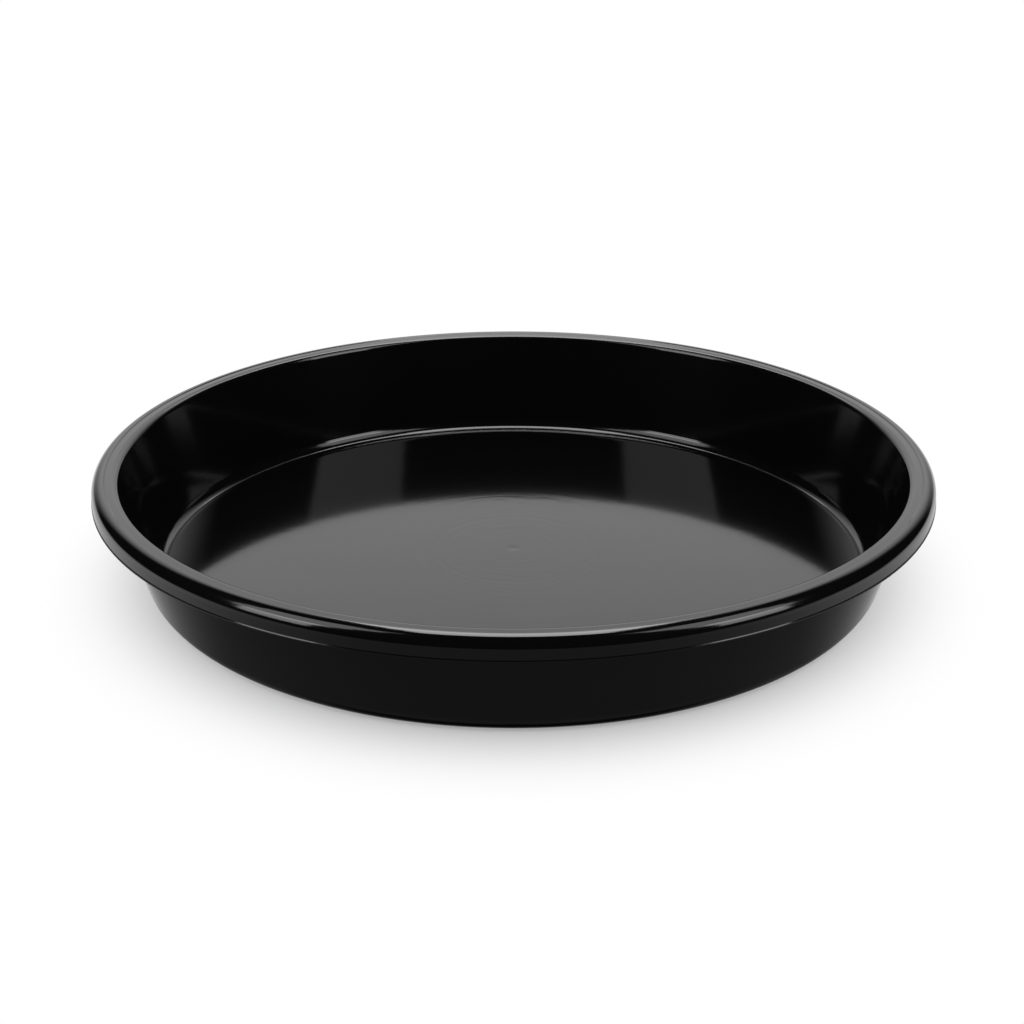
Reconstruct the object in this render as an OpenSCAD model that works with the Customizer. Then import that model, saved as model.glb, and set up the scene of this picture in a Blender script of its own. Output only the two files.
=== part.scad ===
// Round plant pot saucer, moulded in one piece.
// The whole body is one section turned about the Z axis. The section is an outline of
// corners [radius, height, rounding], and each corner is blended by an arc.
// The origin is at the centre of the base, on the ground, and +Z points up out of the dish.

/* [Overall] */
// Diameter over the edge of the rim's lip
rim_d = 300; // [200:5:450]
// Height from the ground to the top of the rim
height = 41.5; // [30:0.5:90]

/* [Wall and floor] */
// Slope of the side wall from the vertical, in degrees
draft = 16; // [4:0.5:24]
// Thickness of the side wall, square to its slope
wall_t = 3; // [1.6:0.1:4]
// Thickness of the floor
floor_t = 2.2; // [1.6:0.1:4]
// Height of the floor's underside above the ground
foot_h = 0.6; // [0.4:0.1:3]
// Width of the flat ring that the saucer stands on
foot_w = 5; // [3:0.5:12]
// Rounding outside, from the wall to the foot
heel_r = 9; // [3:0.5:11]
// Rounding inside, from the floor to the wall
fillet_r = 5; // [2:0.5:12]

/* [Rim] */
// Width of the rim, from the edge of the mouth to the edge of the lip
rim_w = 9.2; // [8:0.1:18]
// Thickness of the rim's flat top
rim_t = 2.6; // [1.6:0.1:4]
// Drop of the lip's lower edge below the top of the rim
lip_drop = 7.5; // [6:0.1:14]
// Thickness of the down-turned lip
lip_t = 2.2; // [1.4:0.1:2.8]
// Amount by which the lip spreads outwards from the shoulder to its lower edge
lip_flare = 0.1; // [0.1:0.1:1]
// Radius of the shoulder between the rim's crown and the lip
shoulder_r = 4.1; // [2:0.1:4.3]
// Width of the crown, from the ledge to the shoulder
crown_w = 0.2; // [0.1:0.1:1]
// Depth of the ledge between the mouth and the crown
ledge_drop = 0.3; // [0.1:0.1:0.6]
// Rounding of the edge of the mouth
mouth_r = 2.1; // [0.5:0.1:2.5]
// Height of the bead along the lip's lower edge
bead_h = 0.5; // [0.4:0.1:1.2]
// Amount by which the bead stands out of the lip
bead_out = 0.24; // [0.1:0.02:0.5]

/* [Gate mark] */
// Diameter of the dimple left by the moulding gate
gate_d = 10; // [4:0.5:20]
// Depth of the dimple
gate_depth = 0.12; // [0.1:0.02:0.6]

/* [Hidden] */

// Rounding of the small edges
edge_r = 0.2;
// Rounding of the crown's inner edge
crown_r = 0.3;
// Width of the crown's inner slope for each unit of its height
crown_slope = 1.5;
// Height of the bead's upper slope for each unit that it stands out
bead_slope = 1.2;
// Rounding inside the hollow under the rim
hollow_r = 1;
// Sides of the turned solid
turn_fn = 180;

lip_rad = rim_d / 2;
mouth_rad = lip_rad - rim_w;
face_rad = lip_rad - bead_out;
shoulder_rad = face_rad - lip_flare;
crown_rad = shoulder_rad - shoulder_r - crown_w;
foot_rad = mouth_rad + wall_t / cos(draft) - height * tan(draft);

floor_z = foot_h + floor_t;
ledge_z = height - ledge_drop;
under_z = ledge_z - rim_t;
lip_z = height - lip_drop;
bead_z = lip_z + bead_h;

// The heel's rounding takes this much off the flat foot
heel_run = heel_r * tan((90 - draft) / 2);
foot_in = foot_rad - heel_run - foot_w;

// Radius of the wall's outer and inner faces at a height
function outer_at(z) = foot_rad + z * tan(draft);
function inner_at(z) = outer_at(z) - wall_t / cos(draft);

// Unit vector from one point towards another
function toward(a, b) = (b - a) / norm(b - a);

// Point p turned about the origin
function turned(p, angle) = [
    p[0] * cos(angle) - p[1] * sin(angle),
    p[0] * sin(angle) + p[1] * cos(angle)
];

// Straight pieces in the arc of a rounded corner: at least two, and more on a large one
function arc_steps(r) = min(12, max(2, ceil(3 * r)));

// Points of the arc of radius r that blends corner p between its neighbours a and b
function blend(a, p, b, r) =
    let (
        u = toward(p, a),
        v = toward(p, b),
        half = acos(u * v) / 2,
        middle = p + toward([0, 0], u + v) * r / sin(half),
        start = p + u * r / tan(half) - middle,
        finish = p + v * r / tan(half) - middle,
        side = sign(start[0] * finish[1] - start[1] * finish[0]),
        sweep = side * (180 - 2 * half),
        steps = arc_steps(r)
    )
    [for (i = [0:steps]) middle + turned(start, sweep * i / steps)];

// Closed outline with each corner [radius, height, rounding] blended
function rounded(corners) =
    let (
        n = len(corners),
        points = [for (c = corners) [c[0], c[1]]]
    )
    [for (i = [0:n - 1])
        each corners[i][2] == 0
            ? [points[i]]
            : blend(points[(i + n - 1) % n], points[i], points[(i + 1) % n], corners[i][2])];

// The section's corners, from the middle of the underside out, up and back over the rim
function underside() = [
    [0, foot_h, 0],
    [foot_in - foot_h, foot_h, edge_r],
    [foot_in, 0, edge_r]
];
function outer_wall() = [
    [foot_rad, 0, heel_r],
    [outer_at(under_z), under_z, hollow_r]
];
function lip() = [
    [shoulder_rad - lip_t, under_z, hollow_r],
    [lip_rad - lip_t, lip_z, edge_r],
    [lip_rad, lip_z, edge_r],
    [lip_rad, bead_z, edge_r / 2],
    [face_rad, bead_z + bead_slope * bead_out, edge_r]
];
function rim_top() = [
    [shoulder_rad, height, shoulder_r],
    [crown_rad, height, crown_r],
    [crown_rad - crown_slope * ledge_drop, ledge_z, crown_r],
    [inner_at(ledge_z), ledge_z, mouth_r]
];
function dish() = [
    [inner_at(floor_z), floor_z, fillet_r],
    [gate_d / 2, floor_z, 1],
    [0, floor_z - gate_depth, 0]
];

module saucer() {
    color([0.02, 0.02, 0.022])
        rotate_extrude($fn = turn_fn)
            polygon(rounded(concat(underside(), outer_wall(), lip(), rim_top(), dish())));
}

saucer();
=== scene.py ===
"""Round plant pot saucer in gloss black plastic: its moulding, its finish and a studio for it.

Every length is in metres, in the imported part's frame: +Z is up, and the origin is at the
centre of the base, on the ground.
"""

import math
from collections import namedtuple

import bmesh
import bpy
from bpy.props import FloatProperty, FloatVectorProperty, IntProperty, PointerProperty
from bpy.types import Operator, Panel, PropertyGroup
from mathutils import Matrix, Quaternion, Vector


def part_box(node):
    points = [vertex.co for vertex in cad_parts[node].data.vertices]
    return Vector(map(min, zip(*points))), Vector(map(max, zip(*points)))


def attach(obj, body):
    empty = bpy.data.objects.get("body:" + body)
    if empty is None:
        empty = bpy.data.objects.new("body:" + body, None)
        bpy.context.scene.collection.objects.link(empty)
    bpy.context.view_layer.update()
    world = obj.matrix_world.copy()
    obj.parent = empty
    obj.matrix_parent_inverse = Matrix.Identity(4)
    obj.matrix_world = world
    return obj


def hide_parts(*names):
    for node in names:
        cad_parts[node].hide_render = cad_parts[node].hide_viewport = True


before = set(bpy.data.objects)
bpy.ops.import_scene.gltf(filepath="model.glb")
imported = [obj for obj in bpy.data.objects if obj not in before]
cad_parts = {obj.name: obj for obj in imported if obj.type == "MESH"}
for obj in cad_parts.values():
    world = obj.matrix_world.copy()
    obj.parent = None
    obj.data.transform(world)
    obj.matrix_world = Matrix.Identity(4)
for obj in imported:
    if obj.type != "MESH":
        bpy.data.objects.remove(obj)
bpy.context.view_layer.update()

bl_info = {
    "name": "Plant pot saucer",
    "version": (1, 0, 0),
    "blender": (4, 5, 0),
    "location": "View3D > Sidebar > Saucer",
    "description": "Builds a moulded plant pot saucer, its plastic finish and a studio for it",
    "category": "Add Mesh",
}

CAD_LOW, CAD_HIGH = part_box("saucer")
MM = 0.001

# Rise of the bead's top for each unit of its width, and run of the crown's edge for each of its fall
BEAD_SLOPE = 1.2
CROWN_SLOPE = 1.5


# ---------------------------------------------------------------------------
# Settings


def length(name, description, default):
    """A length property, in metres, whose default is given in millimetres."""
    return FloatProperty(
        name=name, description=description, default=default * MM, min=0.0, unit="LENGTH", precision=5
    )


class SaucerShape(PropertyGroup):
    """Sizes of the moulded section and of the marks in the floor."""

    rim_radius: FloatProperty(
        name="Rim radius",
        description="From the middle to the edge of the lip",
        default=(CAD_HIGH[0] - CAD_LOW[0]) / 2,
        unit="LENGTH",
    )
    height: FloatProperty(
        name="Height",
        description="From the ground to the top of the rim",
        default=CAD_HIGH[2] - CAD_LOW[2],
        unit="LENGTH",
    )
    draft: FloatProperty(
        name="Draft",
        description="Slope of the side wall from the vertical",
        default=math.radians(16),
        subtype="ANGLE",
    )
    wall: length("Wall", "Thickness of the side wall, square to its slope", 3)
    floor: length("Floor", "Thickness of the floor", 2.2)
    foot_lift: length("Foot lift", "Height of the floor's underside above the ground", 0.6)
    foot_width: length("Foot width", "Width of the flat ring that it stands on", 5)
    heel: length("Heel", "Rounding outside, from the wall to the foot", 9)
    fillet: length("Fillet", "Rounding inside, from the floor to the wall", 5)
    rim_width: length("Rim width", "From the edge of the mouth to the edge of the lip", 9.2)
    rim_thickness: length("Rim thickness", "Thickness of the rim's flat top", 2.6)
    lip_drop: length("Lip drop", "Drop of the lip's lower edge below the top of the rim", 7.5)
    lip_thickness: length("Lip thickness", "Thickness of the down-turned lip", 2.2)
    lip_flare: length("Lip flare", "Spread of the lip from the shoulder to its lower edge", 0.1)
    shoulder: length("Shoulder", "Rounding between the rim's crown and the lip", 4.1)
    crown_width: length("Crown width", "From the ledge to the shoulder", 0.2)
    crown_rounding: length("Crown rounding", "Rounding of the crown's inner edge", 0.3)
    ledge_drop: length("Ledge drop", "Depth of the ledge between the mouth and the crown", 0.3)
    mouth: length("Mouth rounding", "Rounding of the edge of the mouth", 2.1)
    chamfer: length("Chamfer", "Width of the fine chamfer between the ledge and the mouth's edge", 0.9)
    chamfer_fall: length("Chamfer fall", "How far the ledge falls over the chamfer", 0.19)
    bead_height: length("Bead height", "Height of the bead along the lip's lower edge", 0.5)
    bead_out: length("Bead", "Amount by which the bead stands out of the lip", 0.24)
    hollow: length("Hollow rounding", "Rounding inside the hollow under the rim", 1)
    edge: length("Edge rounding", "Rounding of the small edges", 0.2)
    gate_radius: length("Gate mark", "Radius of the soft dimple opposite the moulding gate", 3.2)
    gate_depth: length("Gate mark depth", "Depth of the dimple", 0.12)
    ring_radius: length("Ring radius", "Radius of the fine ring around the gate mark", 29)
    ring_width: length("Ring width", "Width of the fine ring", 1.2)
    ring_depth: length("Ring depth", "Depth of the fine ring", 0.025)
    ripple: length("Ripple", "How far the floor's slow ripple rises and falls", 0.12)
    ripple_length: length("Ripple length", "Distance between the ripple's swells", 70)
    seed: FloatProperty(name="Seed", description="Place in the noise that shapes the ripple", default=3.0)
    turns: IntProperty(name="Turns", description="Flat facets around the saucer", default=240, min=12)


class SaucerFinish(PropertyGroup):
    """Look of the gloss black plastic."""

    colour: FloatVectorProperty(
        name="Colour",
        description="Colour of the plastic under its gloss",
        default=(0.0012, 0.0012, 0.0013),
        subtype="COLOR",
        min=0.0,
        max=1.0,
    )
    roughness: FloatProperty(
        name="Roughness", description="Roughness of the moulded gloss", default=0.09, min=0.0, max=1.0
    )


class SaucerStudio(PropertyGroup):
    """Camera, floor and lights."""

    lens: FloatProperty(
        name="Lens", description="Focal length on a 36 mm sensor, in millimetres", default=61.36
    )
    distance: FloatProperty(
        name="Distance",
        description="From the camera to the point that it looks at",
        default=0.6415,
        unit="LENGTH",
    )
    elevation: FloatProperty(
        name="Elevation",
        description="Height of the camera above the horizon",
        default=0.401,
        subtype="ANGLE",
    )
    aim_side: FloatProperty(
        name="Aim sideways",
        description="X of the point that the camera looks at",
        default=-0.00058,
        unit="LENGTH",
    )
    aim_height: FloatProperty(
        name="Aim height",
        description="Z of the point that the camera looks at",
        default=0.0173,
        unit="LENGTH",
    )


# ---------------------------------------------------------------------------
# Node trees


class Value:
    """A socket of a node tree that can be reckoned with: sums and products add Math nodes."""

    def __init__(self, graph, socket):
        self.graph = graph
        self.socket = socket

    def math(self, operation, *others):
        return self.graph.add("ShaderNodeMath", {"operation": operation}, [self, *others])

    def other(self, name):
        """Another output of the same node."""
        return Value(self.graph, self.socket.node.outputs[name])

    def __add__(self, other):
        return self.math("ADD", other)

    __radd__ = __add__

    def __mul__(self, other):
        return self.math("MULTIPLY", other)

    __rmul__ = __mul__

    def __sub__(self, other):
        return self.math("SUBTRACT", other)

    def __rsub__(self, other):
        return self.graph.add("ShaderNodeMath", {"operation": "SUBTRACT"}, [other, self])

    def __truediv__(self, other):
        return self.math("DIVIDE", other)

    def __rtruediv__(self, other):
        return self.graph.add("ShaderNodeMath", {"operation": "DIVIDE"}, [other, self])

    def __gt__(self, other):
        return self.math("GREATER_THAN", other)


class Graph:
    """Adds nodes to a tree of any kind."""

    def __init__(self, tree):
        self.tree = tree

    def add(self, kind, settings=None, sockets=(), output=0):
        """A new node of a kind, with its settings and then its sockets set; returns one output."""
        node = self.tree.nodes.new(kind)
        for name, setting in (settings or {}).items():
            setattr(node, name, setting)
        pairs = sockets.items() if isinstance(sockets, dict) else enumerate(sockets)
        for name, given in pairs:
            self.join(self.find(node.inputs, name), given)
        return Value(self, self.find(node.outputs, output)) if node.outputs else node

    def find(self, sockets, name):
        """The socket with a name or a number, passing over those that the node's settings hide."""
        if isinstance(name, int):
            return sockets[name]
        return next(socket for socket in sockets if socket.name == name and socket.enabled)

    def join(self, socket, given):
        """Links a value to a socket, or sets the socket to it."""
        if isinstance(given, Value):
            self.tree.links.new(given.socket, socket)
        else:
            socket.default_value = given

    def smooth(self, value, start, end):
        """0 before start and 1 after end, with a smooth change between them."""
        return self.add(
            "ShaderNodeMapRange",
            {"interpolation_type": "SMOOTHSTEP"},
            {"Value": value, "From Min": start, "From Max": end, "To Min": 0.0, "To Max": 1.0},
        )


# ---------------------------------------------------------------------------
# Section of the saucer


def inner_radius(s, z):
    """Radius of the side wall's inner face at a height."""
    return s.rim_radius - s.rim_width - (s.height - z) * math.tan(s.draft)


def outer_radius(s, z):
    """Radius of the side wall's outer face at a height."""
    return inner_radius(s, z) + s.wall / math.cos(s.draft)


def section_corners(s):
    """Corners (radius, height, rounding) of half the section, from under the middle round to above it."""
    face_radius = s.rim_radius - s.bead_out
    shoulder_radius = face_radius - s.lip_flare
    crown_radius = shoulder_radius - s.shoulder - s.crown_width
    foot_radius = outer_radius(s, 0.0)
    foot_inner = foot_radius - s.heel * math.tan((math.pi / 2 - s.draft) / 2) - s.foot_width
    floor_top = s.foot_lift + s.floor
    ledge = s.height - s.ledge_drop
    under_rim = ledge - s.rim_thickness
    lip_bottom = s.height - s.lip_drop
    bead_top = lip_bottom + s.bead_height

    steepness = s.chamfer_fall / s.chamfer
    chamfer_run = s.chamfer + s.mouth * math.tan((math.pi / 2 - s.draft - math.atan(steepness)) / 2)
    mouth_height = ledge - steepness * chamfer_run
    mouth_radius = inner_radius(s, mouth_height)

    underside = [
        (0.0, s.foot_lift, 0.0),
        (foot_inner - s.foot_lift, s.foot_lift, s.edge),
        (foot_inner, 0.0, s.edge),
    ]
    outer_wall = [
        (foot_radius, 0.0, s.heel),
        (outer_radius(s, under_rim), under_rim, s.hollow),
    ]
    lip = [
        (shoulder_radius - s.lip_thickness, under_rim, s.hollow),
        (s.rim_radius - s.lip_thickness, lip_bottom, s.edge),
        (s.rim_radius, lip_bottom, s.edge),
        (s.rim_radius, bead_top, s.edge / 2),
        (face_radius, bead_top + BEAD_SLOPE * s.bead_out, s.edge),
    ]
    rim_top = [
        (shoulder_radius, s.height, s.shoulder),
        (crown_radius, s.height, s.crown_rounding),
        (crown_radius - CROWN_SLOPE * s.ledge_drop, ledge, s.crown_rounding),
        (mouth_radius + chamfer_run, ledge, s.edge),
        (mouth_radius, mouth_height, s.mouth),
    ]
    dish = [
        (inner_radius(s, floor_top), floor_top, s.fillet),
        (s.ring_radius + s.ring_width, floor_top, 0.0),
        (s.ring_radius, floor_top, 0.0),
        (s.ring_radius - s.ring_width, floor_top, 0.0),
        (s.gate_radius, floor_top, 0.0),
        (s.gate_radius / 2, floor_top, 0.0),
        (0.0, floor_top, 0.0),
    ]
    return underside + outer_wall + lip + rim_top + dish


def arc(before, corner, after, radius, step=math.radians(6)):
    """Points of the arc that rounds a corner between its two neighbours."""
    back = (before - corner).normalized()
    ahead = (after - corner).normalized()
    half = back.angle(ahead) / 2
    centre = corner + (back + ahead).normalized() * radius / math.sin(half)
    start = corner + back * radius / math.tan(half) - centre
    finish = corner + ahead * radius / math.tan(half) - centre
    sweep = math.pi - 2 * half
    count = max(2, math.ceil(sweep / step))
    shares = [i / count for i in range(count + 1)]
    return [
        centre + (start * math.sin(sweep * (1 - t)) + finish * math.sin(sweep * t)) / math.sin(sweep)
        for t in shares
    ]


def rounded(corners):
    """The outline through the corners, each rounded by its own radius; its two ends stay sharp."""
    places = [Vector((radius, height)) for radius, height, rounding in corners]
    outline = [places[0]]
    for i in range(1, len(corners) - 1):
        rounding = corners[i][2]
        if rounding:
            outline += arc(places[i - 1], places[i], places[i + 1], rounding)
        else:
            outline.append(places[i])
    return outline + [places[-1]]


def with_supports(outline, margin=0.1 * MM, pitch=3 * MM):
    """The outline with points added on its straights: close to both ends, and evenly between."""
    points = [outline[0]]
    for start, end in zip(outline, outline[1:]):
        gap = (end - start).length
        if gap > 4 * margin:
            steps = math.ceil((gap - 2 * margin) / pitch)
            inner = [margin + (gap - 2 * margin) * i / steps for i in range(steps + 1)]
            points += [start.lerp(end, along / gap) for along in inner]
        points.append(end)
    return points


# ---------------------------------------------------------------------------
# Moulded body


# The ripple fades out between this share of the floor's radius and its edge
RIPPLE_FADE = 0.8
RIPPLE_DETAIL = 2.0
RIPPLE_ROUGHNESS = 0.4
# The ring shows where a noise around it is above this range
BREAK_RANGE = (0.35, 0.6)
BREAK_SCALE = 1.3
BREAK_DETAIL = 1.0
WELD = 0.001 * MM


def lathe_inputs(material, shape):
    """What the tree is given, by the names of its inputs."""
    floor_top = shape.foot_lift + shape.floor
    return {
        "Turns": shape.turns,
        "Floor Edge": inner_radius(shape, floor_top),
        "Floor Top": floor_top,
        "Ripple": shape.ripple,
        "Ripple Length": shape.ripple_length,
        "Ring Radius": shape.ring_radius,
        "Ring Width": shape.ring_width,
        "Ring Depth": shape.ring_depth,
        "Gate Radius": shape.gate_radius,
        "Gate Depth": shape.gate_depth,
        "Seed": shape.seed,
        "Material": material,
    }


def floor_relief(graph, given, radius, cosine, sine):
    """How far the top of the floor is raised: a slow ripple, less the broken ring and the gate mark."""
    seed = given.other("Seed")
    swell = graph.add(
        "ShaderNodeTexNoise",
        {},
        {
            "Vector": graph.add("ShaderNodeCombineXYZ", {}, [radius * cosine, radius * sine, seed]),
            "Scale": 1 / given.other("Ripple Length"),
            "Detail": RIPPLE_DETAIL,
            "Roughness": RIPPLE_ROUGHNESS,
        },
    )
    floor_edge = given.other("Floor Edge")
    in_floor = 1 - graph.smooth(radius, floor_edge * RIPPLE_FADE, floor_edge)
    ripple = (swell - 0.5) * 2 * given.other("Ripple") * in_floor

    breaks = graph.add(
        "ShaderNodeTexNoise",
        {},
        {
            "Vector": graph.add("ShaderNodeCombineXYZ", {}, [cosine, sine, seed]),
            "Scale": BREAK_SCALE,
            "Detail": BREAK_DETAIL,
        },
    )
    from_ring = (radius - given.other("Ring Radius")).math("ABSOLUTE")
    ring = given.other("Ring Depth") * (1 - graph.smooth(from_ring, 0.0, given.other("Ring Width")))
    ring = ring * graph.smooth(breaks, *BREAK_RANGE)
    gate = given.other("Gate Depth") * (1 - graph.smooth(radius, 0.0, given.other("Gate Radius")))
    return ripple - ring - gate


def lathe_tree(names):
    """The tree that turns a section about Z and shapes the top of its floor, with inputs of those names."""
    tree = bpy.data.node_groups.new("turned_section", "GeometryNodeTree")
    interface = tree.interface
    interface.new_socket("Geometry", in_out="INPUT", socket_type="NodeSocketGeometry")
    interface.new_socket("Geometry", in_out="OUTPUT", socket_type="NodeSocketGeometry")
    kinds = {"Turns": "NodeSocketInt", "Material": "NodeSocketMaterial"}
    for name in names:
        interface.new_socket(name, in_out="INPUT", socket_type=kinds.get(name, "NodeSocketFloat"))

    graph = Graph(tree)
    given = graph.add("NodeGroupInput")
    section = given.other("Geometry")
    columns = given.other("Turns") + 1
    rows = graph.add(
        "GeometryNodeAttributeDomainSize", {"component": "MESH"}, {"Geometry": section}, "Point Count"
    )
    sheet = graph.add(
        "GeometryNodeMeshGrid",
        {},
        {"Size X": 1.0, "Size Y": 1.0, "Vertices X": columns, "Vertices Y": rows},
    )
    flat = graph.add("ShaderNodeSeparateXYZ", {}, [graph.add("GeometryNodeInputPosition")])
    angle = (flat.other("X") + 0.5) * math.tau
    row = ((flat.other("Y") + 0.5) * (rows - 1)).math("ROUND")
    sample = graph.add(
        "GeometryNodeSampleIndex",
        {"data_type": "FLOAT_VECTOR", "domain": "POINT"},
        {"Geometry": section, "Value": graph.add("GeometryNodeInputPosition"), "Index": row},
    )
    point = graph.add("ShaderNodeSeparateXYZ", {}, [sample])
    radius = point.other("X")
    height = point.other("Z")
    cosine = angle.math("COSINE")
    sine = angle.math("SINE")

    on_top = height > given.other("Floor Top") * 0.5
    rise = floor_relief(graph, given, radius, cosine, sine) * on_top
    place = graph.add("ShaderNodeCombineXYZ", {}, [radius * cosine, radius * sine, height + rise])
    turned = graph.add("GeometryNodeSetPosition", {}, {"Geometry": sheet, "Position": place})
    closed = graph.add("GeometryNodeMergeByDistance", {}, {"Geometry": turned, "Distance": WELD})
    smooth = graph.add("GeometryNodeSetShadeSmooth", {}, {"Geometry": closed, "Shade Smooth": True})
    real = graph.add("GeometryNodeRealizeInstances", {}, {"Geometry": smooth})
    painted = graph.add(
        "GeometryNodeSetMaterial", {}, {"Geometry": real, "Material": given.other("Material")}
    )
    graph.add("NodeGroupOutput", {}, {"Geometry": painted})
    return tree


def set_inputs(modifier, values):
    """Gives a Geometry Nodes modifier its inputs, each by its socket's identifier."""
    for item in modifier.node_group.interface.items_tree:
        if item.item_type == "SOCKET" and item.in_out == "INPUT" and item.name in values:
            modifier[item.identifier] = values[item.name]


def settle(piece):
    """Replaces a piece's live modifiers by the plain mesh that they make, facing outwards."""
    depsgraph = bpy.context.evaluated_depsgraph_get()
    depsgraph.update()
    mesh = bpy.data.meshes.new_from_object(piece.evaluated_get(depsgraph))
    piece.modifiers.clear()
    piece.data = mesh
    mesh.name = piece.name
    shell = bmesh.new()
    shell.from_mesh(mesh)
    bmesh.ops.recalc_face_normals(shell, faces=shell.faces)
    shell.to_mesh(mesh)
    shell.free()


class SAUCER_OT_moulding(Operator):
    """Turns the section into the moulded saucer"""

    bl_idname = "saucer.moulding"
    bl_label = "Moulded saucer"

    def execute(self, context):
        shape = context.scene.saucer_shape
        points = with_supports(rounded(section_corners(shape)))
        section = bpy.data.meshes.new("saucer_section")
        edges = [(i, i + 1) for i in range(len(points) - 1)]
        section.from_pydata([(p.x, 0.0, p.y) for p in points], edges, [])
        piece = bpy.data.objects.new("saucer_moulding", section)
        context.scene.collection.objects.link(piece)

        inputs = lathe_inputs(plastic_material(context.scene.saucer_finish), shape)
        tree = lathe_tree(inputs)
        modifier = piece.modifiers.new("Lathe", "NODES")
        modifier.node_group = tree
        set_inputs(modifier, inputs)
        settle(piece)
        bpy.data.node_groups.remove(tree)

        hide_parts("saucer")
        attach(piece, "root")
        return {"FINISHED"}


# ---------------------------------------------------------------------------
# Plastic


# Scales of the noises in the plastic, for each metre
CLOUD_SCALE = 14.0
GRAIN_SCALE = 900.0
PEEL_SCALE = 160.0
SWIRL_SCALE = 420.0
# The flow marks start and end over these distances from the middle, and bend with the clouds
SWIRL_START = (5 * MM, 15 * MM)
SWIRL_END = (25 * MM, 70 * MM)
SWIRL_BEND = 0.02
# Shares of each noise in the roughness and in the relief
CLOUD_ROUGHNESS = 0.03
GRAIN_ROUGHNESS = 0.02
PEEL_RELIEF = 0.6
SWIRL_RELIEF = 4.0
GRAIN_RELIEF = 0.05
BUMP_STRENGTH = 0.06
BUMP_DISTANCE = 0.2 * MM
CLOUD_TINT = 1.5
PLASTIC_IOR = 1.5


def plastic_material(finish):
    """Gloss black plastic: near-black, with slow clouds, a fine grain and flow marks around the gate."""
    material = bpy.data.materials.new("gloss_black_plastic")
    material.use_nodes = True
    material.node_tree.nodes.clear()
    graph = Graph(material.node_tree)
    place = graph.add("ShaderNodeTexCoord", output="Object")

    def noise(vector, scale, detail=2.0):
        return graph.add("ShaderNodeTexNoise", {}, {"Vector": vector, "Scale": scale, "Detail": detail})

    cloud = noise(place, CLOUD_SCALE, detail=4.0)
    grain = noise(place, GRAIN_SCALE)
    peel = noise(place, PEEL_SCALE)

    radius = graph.add(
        "ShaderNodeVectorMath",
        {"operation": "LENGTH"},
        [graph.add("ShaderNodeVectorMath", {"operation": "MULTIPLY"}, [place, (1.0, 1.0, 0.0)])],
        "Value",
    )
    swirl = noise(
        graph.add("ShaderNodeCombineXYZ", {}, [radius, cloud * SWIRL_BEND, 0.0]), SWIRL_SCALE
    )
    near_gate = graph.smooth(radius, *SWIRL_START) * (1 - graph.smooth(radius, *SWIRL_END))

    roughness = finish.roughness + (cloud - 0.5) * CLOUD_ROUGHNESS + (grain - 0.5) * GRAIN_ROUGHNESS
    relief = (peel - 0.5) * PEEL_RELIEF + (swirl - 0.5) * near_gate * SWIRL_RELIEF
    relief = relief + (grain - 0.5) * GRAIN_RELIEF
    bump = graph.add(
        "ShaderNodeBump", {}, {"Strength": BUMP_STRENGTH, "Distance": BUMP_DISTANCE, "Height": relief}
    )
    colour = graph.add(
        "ShaderNodeMix",
        {"data_type": "RGBA"},
        {
            "Factor": cloud,
            "A": (*finish.colour, 1.0),
            "B": (*[CLOUD_TINT * channel for channel in finish.colour], 1.0),
        },
        "Result",
    )
    plastic = graph.add(
        "ShaderNodeBsdfPrincipled",
        {},
        {"Base Color": colour, "Roughness": roughness, "IOR": PLASTIC_IOR, "Normal": bump},
    )
    graph.add("ShaderNodeOutputMaterial", {}, {"Surface": plastic})
    return material


# ---------------------------------------------------------------------------
# Studio

# Directions and rolls are in degrees, and sizes in metres
Softbox = namedtuple("Softbox", "name azimuth elevation width height radiance roll")

OVERHEAD_LIGHTS = (
    Softbox("overhead", azimuth=0, elevation=64, width=0.5, height=0.8, radiance=6.0, roll=0),
    Softbox("overhead_fringe", azimuth=0, elevation=42, width=0.5, height=0.24, radiance=2.2, roll=0),
)
SIDE_LIGHTS = (
    Softbox("side_low", azimuth=117, elevation=31, width=0.42, height=0.56, radiance=3.7, roll=-14),
    Softbox("side_high", azimuth=108, elevation=52, width=0.56, height=0.76, radiance=2.2, roll=-20),
)
LIGHT_DISTANCE = 1.3

FLOOR_REACH = 6.0
FLOOR_SIDES = 12
PAPER = 0.85
# The paper fades into a painted white glow over these distances from the middle; the glow paints where the
# saucer's shadow ends
PAINTED_GLOW_FADE = (102 * MM, 182 * MM)

# What the gloss sees. Ranges are of the sine of the elevation, or, for a SPREAD, of the
# cosine of the azimuth from straight behind.
WALL_SPREAD = (0.68, 0.98)
WALL_TOP = (0.58, 0.72)
WALL_LIGHT = 0.8
WALL_RISE = (0.17, 0.36)
WALL_RISE_LIGHT = 0.45
ROOM_LIGHT = 0.004
UNDER_SPREAD = (-0.2, 0.6)
UNDER_EDGE = (-0.95, -0.75)
TABLE_LIGHT = 0.1
TABLE_RISE = (-0.7, -0.4)
TABLE_RISE_LIGHT = 0.06
TABLE_BACK_SPREAD = (-1.0, 0.4)
TABLE_BACK_RISE = (-0.7, -0.2)
TABLE_BACK_LIGHT = 0.85
HORIZON = (-0.12, 0.02)
# What matt surfaces see
MATT_LIGHT = 1.4
# Keeps the division by the level part of a direction from failing straight up and down
LEVEL_LEAST = 0.001

SENSOR_WIDTH = 36.0
CLIP_START = 10 * MM


def toward(azimuth, elevation):
    """Unit direction, from degrees: azimuth 0 is behind the saucer and 90 is to its right."""
    a = math.radians(azimuth)
    e = math.radians(elevation)
    return Vector((math.sin(a) * math.cos(e), math.cos(a) * math.cos(e), math.sin(e)))


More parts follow.
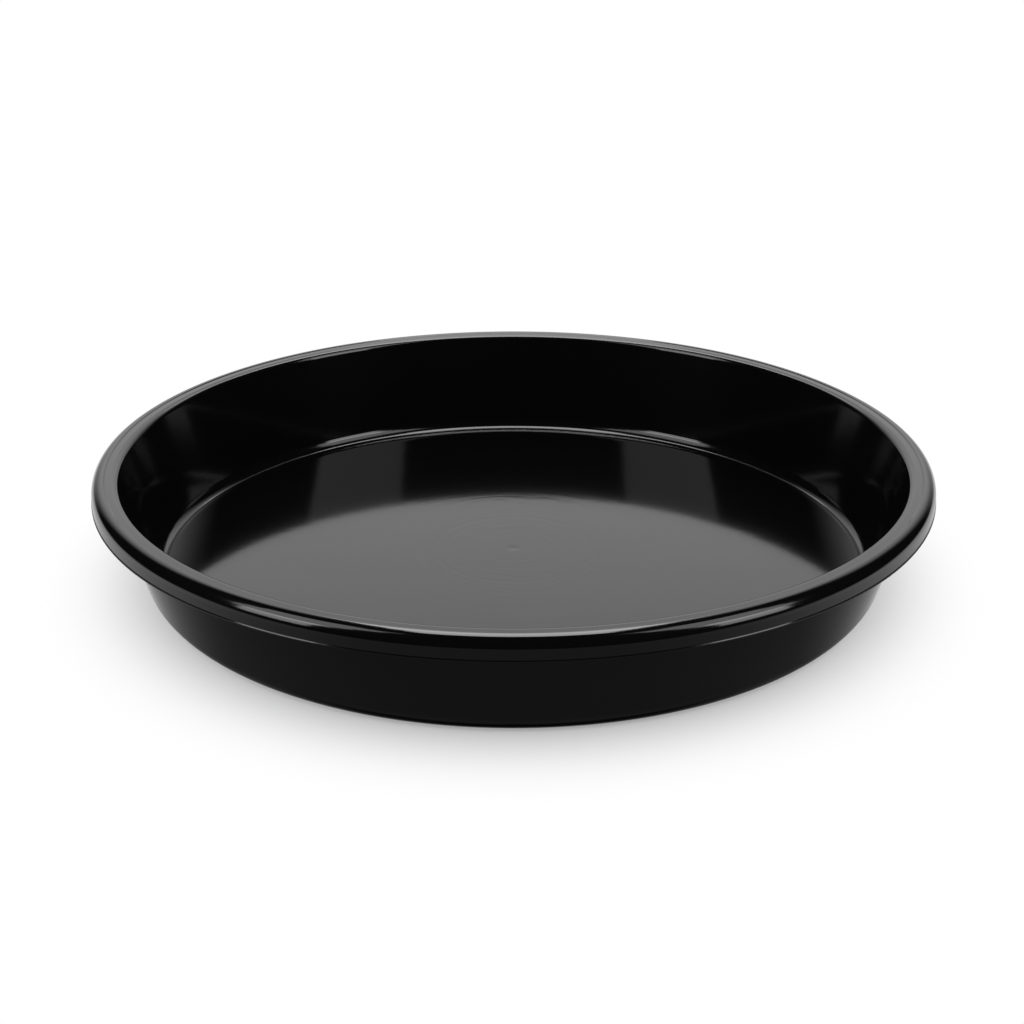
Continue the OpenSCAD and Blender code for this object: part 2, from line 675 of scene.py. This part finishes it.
def add_softbox(box, side=1):
    """A soft light that faces the saucer, unseen by the camera; side -1 mirrors it to the left."""
    direction = toward(side * box.azimuth, box.elevation)
    light = bpy.data.lights.new(box.name, "AREA")
    light.shape = "RECTANGLE"
    light.size = box.width
    light.size_y = box.height
    light.energy = box.radiance * box.width * box.height * math.pi
    lamp = bpy.data.objects.new(box.name, light)
    lamp.location = direction * LIGHT_DISTANCE
    lamp.rotation_mode = "QUATERNION"
    facing = (-direction).to_track_quat("-Z", "Y")
    lamp.rotation_quaternion = facing @ Quaternion((0.0, 0.0, 1.0), math.radians(side * box.roll))
    lamp.visible_camera = False
    lamp.visible_diffuse = False
    bpy.context.scene.collection.objects.link(lamp)


def floor_material():
    """Pale matt paper that brightens to a painted white glow away from the saucer; the glow paints where
    the saucer's shadow ends.
    """
    material = bpy.data.materials.new("studio_floor")
    material.use_nodes = True
    material.node_tree.nodes.clear()
    graph = Graph(material.node_tree)
    place = graph.add("ShaderNodeTexCoord", output="Object")
    radius = graph.add("ShaderNodeVectorMath", {"operation": "LENGTH"}, [place], "Value")
    paper = graph.add("ShaderNodeBsdfDiffuse", {}, {"Color": (PAPER, PAPER, PAPER, 1.0)})
    # Painted light: an emission that stands in for lit paper and paints the saucer's shadow out past the
    # fade
    painted_glow = graph.add("ShaderNodeEmission", {}, {"Color": (1.0, 1.0, 1.0, 1.0), "Strength": 1.0})
    blend = graph.add(
        "ShaderNodeMixShader", {}, {0: graph.smooth(radius, *PAINTED_GLOW_FADE), 1: paper, 2: painted_glow}
    )
    graph.add("ShaderNodeOutputMaterial", {}, {"Surface": blend})
    return material


def add_floor():
    """A wide pale floor that gives no mirror image in the plastic."""
    mesh = bpy.data.meshes.new("studio_floor")
    ring = [toward(360 / FLOOR_SIDES * i, 0) * FLOOR_REACH for i in range(FLOOR_SIDES)]
    mesh.from_pydata(ring, [], [list(reversed(range(FLOOR_SIDES)))])
    mesh.materials.append(floor_material())
    floor = bpy.data.objects.new("studio_floor", mesh)
    floor.visible_glossy = False
    bpy.context.scene.collection.objects.link(floor)


def add_world():
    """White to the camera; to the gloss, a lit sweep behind the saucer that darkens towards the front."""
    world = bpy.data.worlds.new("studio_world")
    world.use_nodes = True
    world.node_tree.nodes.clear()
    graph = Graph(world.node_tree)
    way = graph.add("ShaderNodeSeparateXYZ", {}, [graph.add("ShaderNodeTexCoord", output="Generated")])
    rise = way.other("Z")
    across = (way * way + way.other("Y") * way.other("Y")).math("SQRT")
    behind = way.other("Y") / (across + LEVEL_LEAST)

    wall = graph.smooth(behind, *WALL_SPREAD) * (1 - graph.smooth(rise, *WALL_TOP))
    wall = wall * (WALL_LIGHT + WALL_RISE_LIGHT * graph.smooth(rise, *WALL_RISE)) + ROOM_LIGHT
    under = graph.smooth(behind, *UNDER_SPREAD) * (1 - graph.smooth(rise, *UNDER_EDGE))
    table = (TABLE_LIGHT + TABLE_RISE_LIGHT * graph.smooth(rise, *TABLE_RISE)) * (1 - under)
    back = graph.smooth(behind, *TABLE_BACK_SPREAD) * graph.smooth(rise, *TABLE_BACK_RISE)
    table = table + TABLE_BACK_LIGHT * back
    above = graph.smooth(rise, *HORIZON)
    gloss = table * (1 - above) + wall * above

    path = graph.add("ShaderNodeLightPath", output="Is Camera Ray")
    mirrored = path.other("Is Glossy Ray")
    strength = path + (1 - path) * (mirrored * gloss + (1 - mirrored) * MATT_LIGHT)
    sky = graph.add("ShaderNodeBackground", {}, {"Color": (1.0, 1.0, 1.0, 1.0), "Strength": strength})
    graph.add("ShaderNodeOutputWorld", {}, {"Surface": sky})
    bpy.context.scene.world = world


def add_camera(studio):
    """The camera, in front of the saucer and above it."""
    lens = bpy.data.cameras.new("camera")
    lens.lens = studio.lens
    lens.sensor_width = SENSOR_WIDTH
    lens.clip_start = CLIP_START
    camera = bpy.data.objects.new("camera", lens)
    aim = Vector((studio.aim_side, 0.0, studio.aim_height))
    back = Vector((0.0, -math.cos(studio.elevation), math.sin(studio.elevation)))
    camera.location = aim + back * studio.distance
    camera.rotation_mode = "QUATERNION"
    camera.rotation_quaternion = (-back).to_track_quat("-Z", "Y")
    bpy.context.scene.collection.objects.link(camera)
    bpy.context.scene.camera = camera


class SAUCER_OT_studio(Operator):
    """Adds the floor, the soft lights and the camera"""

    bl_idname = "saucer.studio"
    bl_label = "Studio"

    def execute(self, context):
        add_floor()
        add_world()
        add_camera(context.scene.saucer_studio)
        for box in OVERHEAD_LIGHTS:
            add_softbox(box)
        for side in (-1, 1):
            for box in SIDE_LIGHTS:
                add_softbox(box, side)
        context.scene.view_settings.view_transform = "Standard"
        return {"FINISHED"}


# ---------------------------------------------------------------------------
# Panel and registration


class SAUCER_PT_panel(Panel):
    """Lists the saucer's settings and operators"""

    bl_idname = "SAUCER_PT_panel"
    bl_label = "Plant pot saucer"
    bl_space_type = "VIEW_3D"
    bl_region_type = "UI"
    bl_category = "Saucer"

    def draw(self, context):
        for group in (context.scene.saucer_shape, context.scene.saucer_finish, context.scene.saucer_studio):
            box = self.layout.box()
            for name in group.__annotations__:
                box.prop(group, name)
        self.layout.operator(SAUCER_OT_moulding.bl_idname)
        self.layout.operator(SAUCER_OT_studio.bl_idname)


CLASSES = (
    SaucerShape,
    SaucerFinish,
    SaucerStudio,
    SAUCER_OT_moulding,
    SAUCER_OT_studio,
    SAUCER_PT_panel,
)


def register():
    for cls in CLASSES:
        bpy.utils.register_class(cls)
    bpy.types.Scene.saucer_shape = PointerProperty(type=SaucerShape)
    bpy.types.Scene.saucer_finish = PointerProperty(type=SaucerFinish)
    bpy.types.Scene.saucer_studio = PointerProperty(type=SaucerStudio)


def unregister():
    del bpy.types.Scene.saucer_studio
    del bpy.types.Scene.saucer_finish
    del bpy.types.Scene.saucer_shape
    for cls in reversed(CLASSES):
        bpy.utils.unregister_class(cls)


def main():
    register()
    bpy.ops.saucer.moulding()
    bpy.ops.saucer.studio()


if __name__ == "__main__":
    main()
